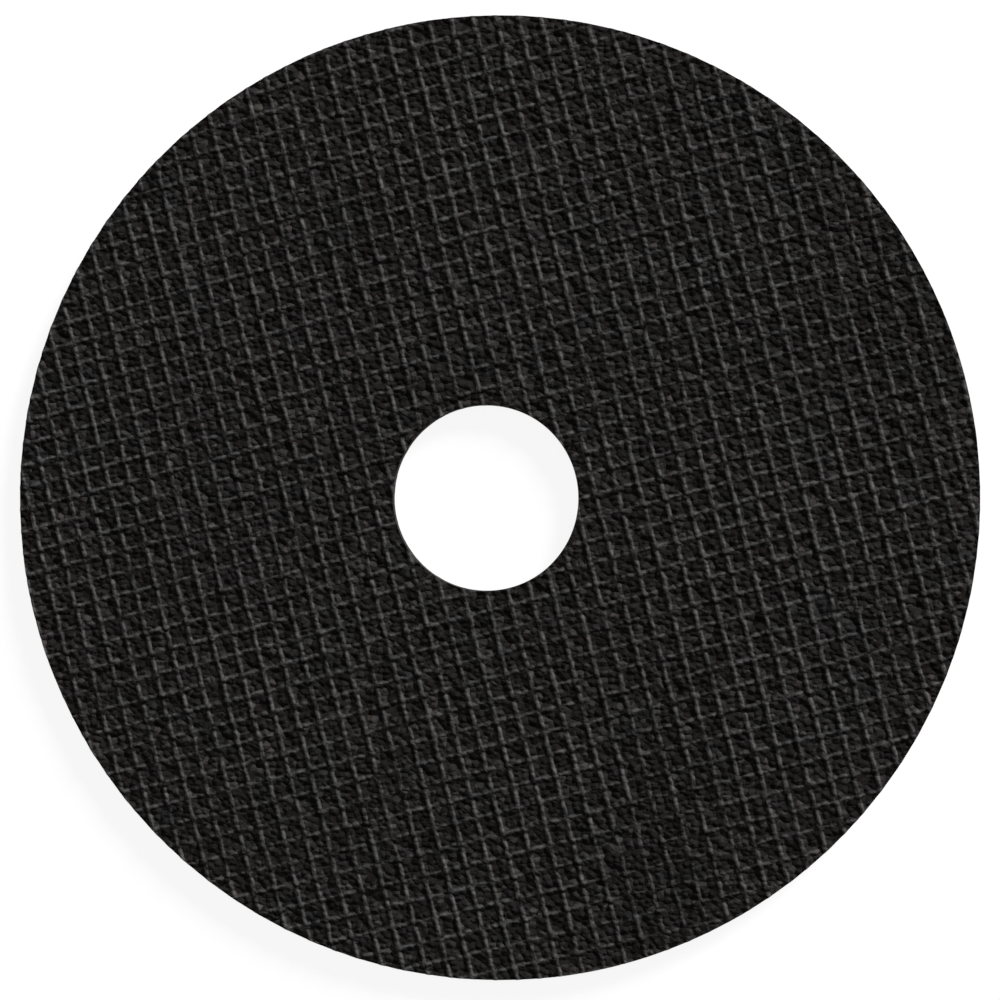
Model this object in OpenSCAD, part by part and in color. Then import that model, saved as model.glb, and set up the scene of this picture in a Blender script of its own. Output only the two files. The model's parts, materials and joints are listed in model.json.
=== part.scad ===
// Flat cut off wheel: abrasive grain in black resin, pressed between two open glass-fibre meshes.
// It is cured as one piece, so it is one solid. The threads of the mesh stand proud on both faces.

/* [Wheel] */
// Outside diameter of the wheel
wheel_d = 115; // [100:1:130]
// Thickness of the wheel, measured over the threads on both faces
wheel_t = 1.6; // [1.2:0.1:3.2]
// Diameter of the arbor bore
bore_d = 22.23; // [15:0.01:30]

/* [Reinforcing mesh] */
// Spacing of the threads, the same for warp and weft
thread_pitch = 2.6; // [2:0.1:4]
// Width of a warp thread where it sinks into the resin
warp_foot_w = 0.75; // [0.6:0.05:1.4]
// Width of the flat that the press leaves on top of a warp thread
warp_top_w = 0.25; // [0.1:0.05:0.5]
// Height of a warp thread above the lowest resin in the cells
warp_h = 0.14; // [0.12:0.01:0.3]
// How far the crests of the weft threads lie below the tops of the warp threads
weft_drop = 0.02; // [0.01:0.01:0.1]
// Angle of the mesh, counter-clockwise from above: at 0 the warp threads run along Y
mesh_angle = 14.5; // [0:0.5:89]
// Distance from the bore's axis to the nearest warp thread
warp_shift = -0.09; // [-1:0.01:1]
// Distance from the bore's axis to the nearest weft thread
weft_shift = -0.19; // [-1:0.01:1]

/* [Hidden] */

// Facets of a drawn circle
round_fn = 180;
// How far a cutter or a thread runs on past what it crosses
overrun = 1;
// How far the flanks of a warp thread run on below the lowest resin
warp_sink = 0.02;

// Half the thickness of the resin at its lowest, in the middle of a cell
resin_z = wheel_t / 2 - warp_h;
// Height of a weft crest above the lowest resin
weft_h = warp_h - weft_drop;
// The resin sags between two weft threads in an arc through both their crests
sag_r = (pow(thread_pitch / 2, 2) + pow(weft_h, 2)) / (2 * weft_h);
// Threads counted out from the axis until they are past the rim on both sides
last_thread = ceil((wheel_d / 2 + overrun) / thread_pitch) + 1;
// Length of a thread that crosses the whole wheel
thread_len = wheel_d + 2 * overrun;

// Outline of one warp thread on the upper face, from left to right, centred on x
function warp_ridge(x) = [
  [x - warp_foot_w / 2, resin_z - warp_sink],
  [x - warp_top_w / 2, wheel_t / 2],
  [x + warp_top_w / 2, wheel_t / 2],
  [x + warp_foot_w / 2, resin_z - warp_sink]
];

// The same points on the lower face, from right to left
function lower_face(points) = [for (i = [len(points) - 1 : -1 : 0]) [points[i][0], -points[i][1]]];

// A section drawn in X and Z, drawn out along Y across the whole wheel
module drawn_out() {
  rotate([90, 0, 0])
    linear_extrude(height = thread_len, center = true)
      children();
}

// Warp threads of both faces, side by side on one web that stays below the resin
module warp() {
  upper = [for (i = [-last_thread : last_thread]) each warp_ridge(i * thread_pitch + warp_shift)];
  drawn_out() polygon(concat(upper, lower_face(upper)));
}

// Weft threads of both faces: the crests that are left where the resin sags between them
module weft() {
  drawn_out() difference() {
    square([2 * last_thread * thread_pitch, wheel_t], center = true);
    for (i = [-last_thread : last_thread], side = [-1, 1])
      translate([(i + 0.5) * thread_pitch + weft_shift, side * (resin_z + sag_r)])
        circle(r = sag_r, $fn = round_fn);
  }
}

// The rim and the bore, which the press mould forms as true cylinders
module ring() {
  difference() {
    cylinder(d = wheel_d, h = wheel_t, center = true, $fn = round_fn);
    cylinder(d = bore_d, h = wheel_t + 2 * overrun, center = true, $fn = round_fn);
  }
}

// The finished wheel, lying on the tops of its lower warp threads
module cut_off_wheel() {
  color([0.13, 0.125, 0.12])
    translate([0, 0, wheel_t / 2])
      intersection() {
        ring();
        rotate(mesh_angle) union() {
          warp();
          rotate(90) weft();
        }
      }
}

cut_off_wheel();
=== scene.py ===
"""Looks of the cut off wheel, lying flat on a pale table and seen from almost straight above."""

import json
import math
import random

import bmesh
import bpy
from mathutils import Matrix, Vector, noise


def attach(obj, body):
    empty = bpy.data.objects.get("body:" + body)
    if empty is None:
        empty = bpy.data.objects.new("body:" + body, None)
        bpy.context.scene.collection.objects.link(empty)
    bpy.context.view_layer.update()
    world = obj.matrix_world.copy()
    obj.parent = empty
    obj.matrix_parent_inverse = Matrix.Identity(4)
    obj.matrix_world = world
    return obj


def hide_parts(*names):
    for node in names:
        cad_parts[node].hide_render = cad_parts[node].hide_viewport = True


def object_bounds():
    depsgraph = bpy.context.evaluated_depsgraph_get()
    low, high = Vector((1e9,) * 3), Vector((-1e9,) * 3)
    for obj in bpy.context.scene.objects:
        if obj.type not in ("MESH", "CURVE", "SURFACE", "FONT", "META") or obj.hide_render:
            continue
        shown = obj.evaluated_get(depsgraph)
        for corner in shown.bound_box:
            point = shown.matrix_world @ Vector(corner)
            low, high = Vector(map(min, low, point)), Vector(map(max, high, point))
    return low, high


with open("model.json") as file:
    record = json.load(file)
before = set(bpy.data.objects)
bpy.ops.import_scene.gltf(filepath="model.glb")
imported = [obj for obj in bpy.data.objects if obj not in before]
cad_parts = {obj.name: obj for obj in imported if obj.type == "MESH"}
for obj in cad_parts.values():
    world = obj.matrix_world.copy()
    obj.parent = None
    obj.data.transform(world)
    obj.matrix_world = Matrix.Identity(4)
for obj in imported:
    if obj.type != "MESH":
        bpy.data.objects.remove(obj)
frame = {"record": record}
cad_low, cad_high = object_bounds()
bore = next(mount for mount in frame["record"]["mounts"] if mount["name"] == "bore")

# Lengths are in millimetres, as in the part's source, unless a comment says otherwise
MM = 0.001
WHEEL_R = (cad_high.x - cad_low.x) / 2 / MM
WHEEL_T = (cad_high.z - cad_low.z) / MM
BORE_R = bore["dims"]["r_mm"]
ROUND_SEGMENTS = 360

# Glass mesh: distance between threads, turn of the mesh, places of the two threads nearest the axis, and
# how far the threads stand out of the resin
PITCH = 2.6
MESH_ANGLE = math.radians(14.5)
WARP_AT = -0.09
WEFT_AT = -0.19
WARP_H = 0.14
WEFT_H = 0.12
# Levels of the thread tops and of the resin, from the wheel's middle plane
FACE_Z = WHEEL_T / 2
RESIN_Z = FACE_Z - WARP_H
# Threads counted out from the middle until they are past the rim
THREADS_EACH_WAY = 23

# Lines of the surface grid across one thread and the cell beside it: distance from the middle of the thread,
# share of the thread's height there, and share that is left there of the height of a thread that crosses it
WARP_LINES = (
    (-0.85, 0.0, 1.0),
    (-0.39, 0.0, 0.3),
    (-0.125, 1.0, 1.0),
    (0.125, 1.0, 1.0),
    (0.45, 0.0, 1.0),
    (0.8, 0.0, 1.0),
)
WEFT_LINES = (
    (-0.85, 0.0, 1.0),
    (-0.43, 0.0, 0.15),
    (0.0, 1.0, 1.0),
    (0.54, 0.0, 1.0),
    (1.3, 0.0, 1.0),
)
# Lines up to this far from a thread keep their distance from it; one further out is shared with the next
KEEPS_DISTANCE = 1.0

# How far the mesh as a whole is pulled out of line, across the warp and across the weft, and over what length
WARP_PULL = 0.14
WEFT_PULL = 0.31
PULL_LENGTH = 40.0
# How far a thread strays sideways on its own, and the length over which it does so
SLOW_STRAY = 0.04
SLOW_LENGTH = 9.0
QUICK_STRAY = 0.08
QUICK_LENGTH = 2.2
# Usual height of a thread as a share of its full height, how much the share differs, and over what length
WARP_USUAL = 0.9
WARP_DIFFERS = 0.3
WARP_LENGTH = 3.0
WEFT_USUAL = 0.95
WEFT_DIFFERS = 0.3
WEFT_LENGTH = 2.0
# How much the depth to which the press sinks the mesh differs, as a share, and over what length
SINK_DIFFERS = 0.3
SINK_LENGTH = 20.0
# How far the level of the resin goes up and down, and over what lengths along the weft and along the warp
RESIN_WAVE = 0.03
RESIN_ALONG_WEFT = 1.1
RESIN_ALONG_WARP = 0.9
# The most of a dip beside a crossing that may be filled with resin
MOST_FILLED = 0.5

# Steps through the noise from one thread to the next, so that neighbours stray each in its own way
SLOW_STEP = 3.7
QUICK_STEP = 5.3
HEIGHT_STEP = 2.1
# Seeds of the two faces, and what is added to them for each kind of unevenness
TOP_SEED = 1
UNDER_SEED = 2
QUICK_SEED = 9
WARP_HEIGHT_SEED = 20
WEFT_HEIGHT_SEED = 30
RESIN_SEED = 40
WEFT_PLACE_SEED = 50
SINK_SEED = 60
PULL_SEED = 75

# Walls of the rim and the bore: how near to the true radius their faces lie, and how little they lean
WALL_BAND = 0.05
WALL_LEAN = 0.2
# Edges that turn by more than this stay crisp
CRISP_ANGLE = math.radians(30)

# Sizes of the marks in the surfaces, across. Single grains of grit, about 0.3 mm, are too fine to show from
# the camera, so the faces are drawn with clumps of two or three grains.
CLUMP = 0.72
LUMP = 1.0
FILM_STREAK = 0.65
TINT_PATCH = 8.0
EDGE_GRAIN = 0.36
# Width of a clump as a share of its length, which lies along the weft
DRAWN_OUT = 0.83
# Heights of the bumps that the marks make
CLUMP_BUMP = 0.36
LUMP_BUMP = 0.36
EDGE_BUMP = 0.08
# The film over a thread starts to thin this far above the resin, and is thinnest this far below the top
FILM_THINS = 0.05
FILM_THINNEST = 0.015

# Table: half its width in metres, and how far it lies under the wheel, so that no faces share a plane
TABLE_HALF = 0.8
TABLE_GAP = 0.02

# Camera: how far it leans from straight above and towards where, its distance from the face in metres, and
# its lens. All of them come from the outlines of the rim and the bore in the photograph.
CAMERA_TILT = math.radians(5.85)
CAMERA_TOWARDS = math.radians(1.5)
CAMERA_DISTANCE = 3.25 * WHEEL_R * MM
CAMERA_LENS = 56.45
CAMERA_SHIFT_X = 0.01504
CAMERA_SHIFT_Y = -0.00189

# Softbox: where it stands, its distance and width in metres, and its power in watts
KEY_AZIMUTH = math.radians(50)
KEY_ELEVATION = math.radians(13)
KEY_DISTANCE = 5.0
KEY_WIDTH = 1.6
KEY_POWER = 970
# Light from all round, as a share of the white that the camera sees there
FILL_LIGHT = 0.18


def smooth_noise(x, y, z):
    """Soft random value from about -1 to 1, the same on every run."""
    return noise.noise(Vector((x, y, z)))


def line_of(index, lines):
    """Which thread and which of its lines a grid line belongs to."""
    thread, line = divmod(index, len(lines))
    return thread - THREADS_EACH_WAY, line


def thread_place(thread, along, at, pull, seed):
    """Middle of a thread at a place along it: evenly spaced, with the small wander of a real mesh."""
    pulled = pull * smooth_noise(thread * PITCH / PULL_LENGTH, along / PULL_LENGTH, seed + PULL_SEED)
    slow = SLOW_STRAY * smooth_noise(thread * SLOW_STEP, along / SLOW_LENGTH, seed)
    quick = QUICK_STRAY * smooth_noise(thread * QUICK_STEP, along / QUICK_LENGTH, seed + QUICK_SEED)
    return thread * PITCH + at + pulled + slow + quick


def line_place(thread, offset, along, at, pull, seed):
    """Place of a grid line: beside its thread, or shared out between two threads where it lies in a cell."""
    here = thread_place(thread, along, at, pull, seed)
    if abs(offset) < KEEPS_DISTANCE:
        return here + offset
    there = thread_place(thread + 1, along, at, pull, seed)
    return here + (there - here) * offset / PITCH


def shape_face(verts, columns, rows, seed):
    """Moves a flat grid into the threads and the resin of one face. The grid runs from -1 to 1 both ways."""
    chance = random.Random(seed)
    span = 2 * THREADS_EACH_WAY + 1
    filled = [[chance.uniform(0.0, MOST_FILLED) for _ in range(span)] for _ in range(span)]
    for vert in verts:
        warp, a = line_of(round((vert.co.x + 1) / 2 * columns), WARP_LINES)
        weft, b = line_of(round((vert.co.y + 1) / 2 * rows), WEFT_LINES)
        across_warp, warp_share, weft_left = WARP_LINES[a]
        across_weft, weft_share, warp_left = WEFT_LINES[b]
        along_warp = weft * PITCH + across_weft
        along_weft = warp * PITCH + across_warp
        x = line_place(warp, across_warp, along_warp, WARP_AT, WARP_PULL, seed)
        y = line_place(weft, across_weft, along_weft, WEFT_AT, WEFT_PULL, seed + WEFT_PLACE_SEED)
        proud = 1 + SINK_DIFFERS * smooth_noise(x / SINK_LENGTH, y / SINK_LENGTH, seed + SINK_SEED)
        warp_uneven = smooth_noise(warp * HEIGHT_STEP, along_warp / WARP_LENGTH, seed + WARP_HEIGHT_SEED)
        weft_uneven = smooth_noise(weft * HEIGHT_STEP, along_weft / WEFT_LENGTH, seed + WEFT_HEIGHT_SEED)
        warp_h = WARP_H * proud * (WARP_USUAL + WARP_DIFFERS * warp_uneven)
        weft_h = WEFT_H * proud * (WEFT_USUAL + WEFT_DIFFERS * weft_uneven)
        # beside a crossing each thread dips towards the resin, which fills some dips more than others
        resin_in_dip = filled[warp + THREADS_EACH_WAY][weft + THREADS_EACH_WAY]
        warp_h *= warp_left + (1 - warp_left) * resin_in_dip
        weft_h *= weft_left + (1 - weft_left) * resin_in_dip
        resin = RESIN_WAVE * smooth_noise(x / RESIN_ALONG_WEFT, y / RESIN_ALONG_WARP, seed + RESIN_SEED)
        height = max(warp_h * warp_share, weft_h * weft_share) + resin
        vert.co = (x, y, min(RESIN_Z + height, FACE_Z))


def relief_slab():
    """A slab wider than the wheel, with the mesh in relief on its top and its underside."""
    columns = 2 * THREADS_EACH_WAY * len(WARP_LINES)
    rows = 2 * THREADS_EACH_WAY * len(WEFT_LINES)
    bm = bmesh.new()
    bmesh.ops.create_grid(bm, x_segments=columns, y_segments=rows, size=1)
    top = bm.verts[:]
    made = bmesh.ops.extrude_face_region(bm, geom=bm.faces[:])
    under = [part for part in made["geom"] if isinstance(part, bmesh.types.BMVert)]
    shape_face(top, columns, rows, TOP_SEED)
    shape_face(under, columns, rows, UNDER_SEED)
    bmesh.ops.scale(bm, verts=under, vec=(1, 1, -1))
    bmesh.ops.recalc_face_normals(bm, faces=bm.faces[:])
    bmesh.ops.rotate(bm, verts=bm.verts[:], cent=(0, 0, 0), matrix=Matrix.Rotation(MESH_ANGLE, 3, "Z"))
    # flat faces, so that the cut along the rim and the bore leaves no doubled slivers
    bmesh.ops.triangulate(bm, faces=bm.faces[:], quad_method="FIXED")
    return bm


def mould_ring():
    """The press mould's ring, taller than the slab, which gives the rim and the bore true round walls."""
    bm = bmesh.new()
    for radius in (WHEEL_R, BORE_R):
        bmesh.ops.create_circle(bm, segments=ROUND_SEGMENTS, radius=radius)
    bmesh.ops.bridge_loops(bm, edges=bm.edges[:])
    made = bmesh.ops.extrude_face_region(bm, geom=bm.faces[:])
    upper = [part for part in made["geom"] if isinstance(part, bmesh.types.BMVert)]
    bmesh.ops.translate(bm, verts=bm.verts[:], vec=(0, 0, -WHEEL_T))
    bmesh.ops.translate(bm, verts=upper, vec=(0, 0, 2 * WHEEL_T))
    bmesh.ops.recalc_face_normals(bm, faces=bm.faces[:])
    return bm


def to_mesh(bm, name):
    """The mesh of a finished bmesh, which is freed."""
    mesh = bpy.data.meshes.new(name)
    bm.to_mesh(mesh)
    bm.free()
    return mesh


def to_scene(name, data):
    """Puts a mesh, a camera or a light into the scene."""
    made = bpy.data.objects.new(name, data)
    bpy.context.scene.collection.objects.link(made)
    return made


def standing(bm, name):
    """Puts a bmesh built around the wheel's middle plane into the scene, in metres and on the table."""
    bmesh.ops.translate(bm, verts=bm.verts[:], vec=(0, 0, WHEEL_T / 2))
    bmesh.ops.scale(bm, verts=bm.verts[:], vec=(MM, MM, MM))
    return to_scene(name, to_mesh(bm, name))


def trimmed_wheel():
    """The slab cut to the mould's ring: one closed mesh, crisp at the rim and the bore."""
    slab = standing(relief_slab(), "slab")
    ring = standing(mould_ring(), "ring")
    trim = slab.modifiers.new("trim", "BOOLEAN")
    trim.operation = "INTERSECT"
    trim.solver = "MANIFOLD"
    trim.object = ring
    cut = bpy.data.meshes.new_from_object(slab.evaluated_get(bpy.context.evaluated_depsgraph_get()))
    for used in (slab, ring):
        bpy.data.objects.remove(used)
    bm = bmesh.new()
    bm.from_mesh(cut)
    for face in bm.faces:
        face.smooth = True
        radius = face.calc_center_median().xy.length / MM
        at_wall = radius > WHEEL_R - WALL_BAND or radius < BORE_R + WALL_BAND
        # the first material is the face's and the second the wall's
        face.material_index = 1 if at_wall and abs(face.normal.z) < WALL_LEAN else 0
    for edge in bm.edges:
        edge.smooth = edge.calc_face_angle(0) < CRISP_ANGLE
    return to_scene("wheel_with_mesh", to_mesh(bm, "cut_off_wheel_dressed"))


def linear(colour):
    """An sRGB hex colour as the linear RGBA that Blender's sockets take."""
    parts = [int(colour[i : i + 2], 16) / 255 for i in (1, 3, 5)]
    return [p / 12.92 if p <= 0.04045 else ((p + 0.055) / 1.055) ** 2.4 for p in parts] + [1.0]


def add(tree, kind, inputs, **settings):
    """Adds a shader node. An input is a value or the socket that feeds it."""
    node = tree.nodes.new(kind)
    for name, value in settings.items():
        setattr(node, name, value)
    for name, value in inputs.items():
        if isinstance(value, bpy.types.NodeSocket):
            tree.links.new(value, node.inputs[name])
        else:
            node.inputs[name].default_value = value
    return node


def ramp(tree, value, stops):
    """Turns a value into a colour, by stops that each give a value and its colour."""
    node = add(tree, "ShaderNodeValToRGB", {"Fac": value})
    elements = node.color_ramp.elements
    for place, colour in stops:
        elements.new(place).color = linear(colour)
    # the black and the white that a new ramp starts with, which are now its two ends
    elements.remove(elements[0])
    elements.remove(elements[-1])
    return node.outputs["Color"]


def mix(tree, factor, first, second, blend_type):
    """Mixes two colours. The numbers are the colour sockets of Blender's Mix node."""
    inputs = {"Factor": factor, 6: first, 7: second}
    return add(tree, "ShaderNodeMix", inputs, data_type="RGBA", blend_type=blend_type).outputs[2]


def millimetres(tree, turn):
    """The object's own coordinates in millimetres, turned about the wheel's axis."""
    place = add(tree, "ShaderNodeTexCoord", {})
    inputs = {"Vector": place.outputs["Object"], "Rotation": (0, 0, turn), "Scale": (MM, MM, MM)}
    return add(tree, "ShaderNodeMapping", inputs, vector_type="TEXTURE").outputs["Vector"]


def new_material(name):
    """A material with no nodes yet, and its node tree."""
    material = bpy.data.materials.new(name)
    material.use_nodes = True
    material.node_tree.nodes.clear()
    return material, material.node_tree


def pressed_face():
    """Black phenolic resin, hot-pressed over abrasive grain and woven glass.

    To the eye: matt and near black, crumbly in the cells, and greyer along the threads, where the film of
    resin over the glass is thin.
    """
    material, tree = new_material("phenolic_resin_over_glass_mesh")
    # X runs across the warp threads and Y along them
    mm = millimetres(tree, MESH_ANGLE)

    # how far a point stands up out of the resin towards the top of the threads, the same on both faces
    split = add(tree, "ShaderNodeSeparateXYZ", {"Vector": mm})
    from_middle = add(tree, "ShaderNodeMath", {0: split.outputs["Z"], 1: WHEEL_T / 2}, operation="SUBTRACT")
    height = add(tree, "ShaderNodeMath", {0: from_middle.outputs[0]}, operation="ABSOLUTE")
    thread = add(
        tree,
        "ShaderNodeMapRange",
        {
            "Value": height.outputs[0],
            "From Min": RESIN_Z + FILM_THINS,
            "From Max": FACE_Z - FILM_THINNEST,
        },
    ).outputs["Result"]

    # clumps of grain and the lumps under them, drawn out a little along the weft
    drawn_out = add(tree, "ShaderNodeMapping", {"Vector": mm, "Scale": (DRAWN_OUT, 1.0, 1.0)})
    drawn_out = drawn_out.outputs["Vector"]
    clumps = add(tree, "ShaderNodeTexVoronoi", {"Vector": drawn_out, "Scale": 1 / CLUMP})
    lumps = add(tree, "ShaderNodeTexNoise", {"Vector": drawn_out, "Scale": 1 / LUMP, "Detail": 2.0})

    # each clump has a tone of its own, and a few are lighter grains that the press laid bare
    clump_stops = ((0.2, "#131110"), (0.7, "#1e1d1d"), (0.92, "#312f2e"))
    clump_tone = ramp(tree, clumps.outputs["Color"], clump_stops)
    # the film over a thread is thick and black in places and thin and grey in others
    film = add(tree, "ShaderNodeTexNoise", {"Vector": mm, "Scale": 1 / FILM_STREAK, "Detail": 1.0})
    film_tone = ramp(tree, film.outputs["Fac"], ((0.35, "#373737"), (0.65, "#4a4949")))
    tone = mix(tree, thread, clump_tone, film_tone, "MIX")
    # the resin cures a shade cooler in some patches and a shade warmer in others
    patch = add(tree, "ShaderNodeTexNoise", {"Vector": mm, "Scale": 1 / TINT_PATCH, "Detail": 1.0})
    cure_tint = ramp(tree, patch.outputs["Fac"], ((0.3, "#f5f8f7"), (0.7, "#fcf5f4")))
    tinted = mix(tree, 1.0, tone, cure_tint, "MULTIPLY")

    # the film smooths the threads a little, and the cells between them stay rough
    rough = add(tree, "ShaderNodeMapRange", {"Value": thread, "To Min": 0.9, "To Max": 0.8})
    relief = add(tree, "ShaderNodeMapRange", {"Value": thread, "To Min": 1.0, "To Max": 0.5})
    clump_bump = add(
        tree,
        "ShaderNodeBump",
        {
            "Height": clumps.outputs["Distance"],
            "Distance": CLUMP_BUMP * MM,
            "Strength": relief.outputs[0],
        },
        invert=True,
    )
    bump = add(
        tree,
        "ShaderNodeBump",
        {
            "Height": lumps.outputs["Fac"],
            "Distance": LUMP_BUMP * MM,
            "Strength": relief.outputs[0],
            "Normal": clump_bump.outputs[0],
        },
    )
    surface = add(
        tree,
        "ShaderNodeBsdfPrincipled",
        {
            "Base Color": tinted,
            "Roughness": rough.outputs[0],
            "IOR": 1.55,
            "Specular IOR Level": 0.02,
            "Normal": bump.outputs[0],
        },
    )
    add(tree, "ShaderNodeOutputMaterial", {"Surface": surface.outputs[0]})
    return material


def pressed_wall():
    """Alumina grain in phenolic resin, pressed against the smooth ring of the mould at the rim and the bore.

    To the eye: dry and almost black, with grey-brown grains just showing through the skin of resin.
    """
    material, tree = new_material("abrasive_grain_in_phenolic_resin")
    mm = millimetres(tree, 0.0)
    grain = add(tree, "ShaderNodeTexVoronoi", {"Vector": mm, "Scale": 1 / EDGE_GRAIN})
    tone = ramp(tree, grain.outputs["Distance"], ((0.05, "#1b1816"), (0.95, "#0b0a0a")))
    bump = add(tree, "ShaderNodeBump", {"Height": grain.outputs["Distance"], "Distance": EDGE_BUMP * MM})
    surface = add(
        tree,
        "ShaderNodeBsdfPrincipled",
        {
            "Base Color": tone,
            "Roughness": 0.9,
            "IOR": 1.6,
            "Specular IOR Level": 0.1,
            "Normal": bump.outputs[0],
        },
    )
    add(tree, "ShaderNodeOutputMaterial", {"Surface": surface.outputs[0]})
    return material


def seen_by_camera(tree):
    """1 for what the camera sees itself or in a reflection or through glass, 0 for what only gives light."""
    path = add(tree, "ShaderNodeLightPath", {})
    seen = path.outputs["Is Camera Ray"]
    for ray in ("Is Glossy Ray", "Is Transmission Ray"):
        seen = add(tree, "ShaderNodeMath", {0: seen, 1: path.outputs[ray]}, operation="MAXIMUM").outputs[0]
    return seen


def table_top():
    """Matt white laminate. What the camera sees of it is lifted to white, and the wheel's shadow stays."""
    material, tree = new_material("matt_white_laminate")
    seen = seen_by_camera(tree)
    plain = add(tree, "ShaderNodeBsdfDiffuse", {"Color": linear("#d8d8d8")})
    dim = add(tree, "ShaderNodeBsdfDiffuse", {"Color": linear("#666666")})
    glow = add(tree, "ShaderNodeEmission", {"Color": linear("#ffffff"), "Strength": 0.9})
    lifted = add(tree, "ShaderNodeAddShader", {0: dim.outputs[0], 1: glow.outputs[0]})
    mixed = add(tree, "ShaderNodeMixShader", {0: seen, 1: plain.outputs[0], 2: lifted.outputs[0]})
    add(tree, "ShaderNodeOutputMaterial", {"Surface": mixed.outputs[0]})
    return material


def flat_table():
    """A plain square table just under the wheel."""
    bm = bmesh.new()
    bmesh.ops.create_grid(bm, x_segments=1, y_segments=1, size=TABLE_HALF)
    bmesh.ops.translate(bm, verts=bm.verts[:], vec=(0, 0, -TABLE_GAP * MM))
    return to_scene("table", to_mesh(bm, "table"))


def direction(azimuth, elevation):
    """The way out from the wheel. Azimuth goes from +X towards +Y."""
    flat = math.cos(elevation)
    return Vector((math.cos(azimuth) * flat, math.sin(azimuth) * flat, math.sin(elevation)))


def overhead_camera():
    """A camera close above the wheel that leans to its right, with +Y up in the picture."""
    data = bpy.data.cameras.new("camera")
    data.sensor_width = 36.0
    data.lens = CAMERA_LENS
    data.shift_x = CAMERA_SHIFT_X
    data.shift_y = CAMERA_SHIFT_Y
    data.clip_start = 0.01
    data.clip_end = 20.0
    made = to_scene("camera", data)
    back = direction(CAMERA_TOWARDS, math.pi / 2 - CAMERA_TILT)
    right = Vector((0, 1, 0)).cross(back).normalized()
    up = back.cross(right)
    turn = Matrix((right, up, back)).transposed().to_4x4()
    middle_of_face = Vector((0, 0, WHEEL_T * MM))
    made.matrix_world = Matrix.Translation(back * CAMERA_DISTANCE + middle_of_face) @ turn
    return made


def key_softbox():
    """One square softbox, low at the upper right, so that its light rakes over the threads."""
    data = bpy.data.lights.new("key_softbox", "AREA")
    data.shape = "SQUARE"
    data.size = KEY_WIDTH
    data.energy = KEY_POWER
    made = to_scene("key_softbox", data)
    away = direction(KEY_AZIMUTH, KEY_ELEVATION)
    turn = away.to_track_quat("Z", "Y").to_matrix().to_4x4()
    made.matrix_world = Matrix.Translation(away * KEY_DISTANCE) @ turn
    return made


def studio():
    """White surroundings, which give only a little even light, to keep the shaded flanks from going black."""
    world = bpy.data.worlds.new("studio")
    world.use_nodes = True
    tree = world.node_tree
    tree.nodes.clear()
    seen = seen_by_camera(tree)
    level = add(tree, "ShaderNodeMapRange", {"Value": seen, "To Min": FILL_LIGHT, "To Max": 1.0})
    white = add(tree, "ShaderNodeBackground", {"Color": linear("#ffffff"), "Strength": level.outputs[0]})
    add(tree, "ShaderNodeOutputWorld", {"Surface": white.outputs[0]})
    return world


wheel = trimmed_wheel()
wheel.data.materials.append(pressed_face())
wheel.data.materials.append(pressed_wall())
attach(wheel, "root")
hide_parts("cut_off_wheel")

table = flat_table()
table.data.materials.append(table_top())

bpy.context.scene.camera = overhead_camera()
key_softbox()
bpy.context.scene.world = studio()
bpy.context.scene.view_settings.view_transform = "Standard"
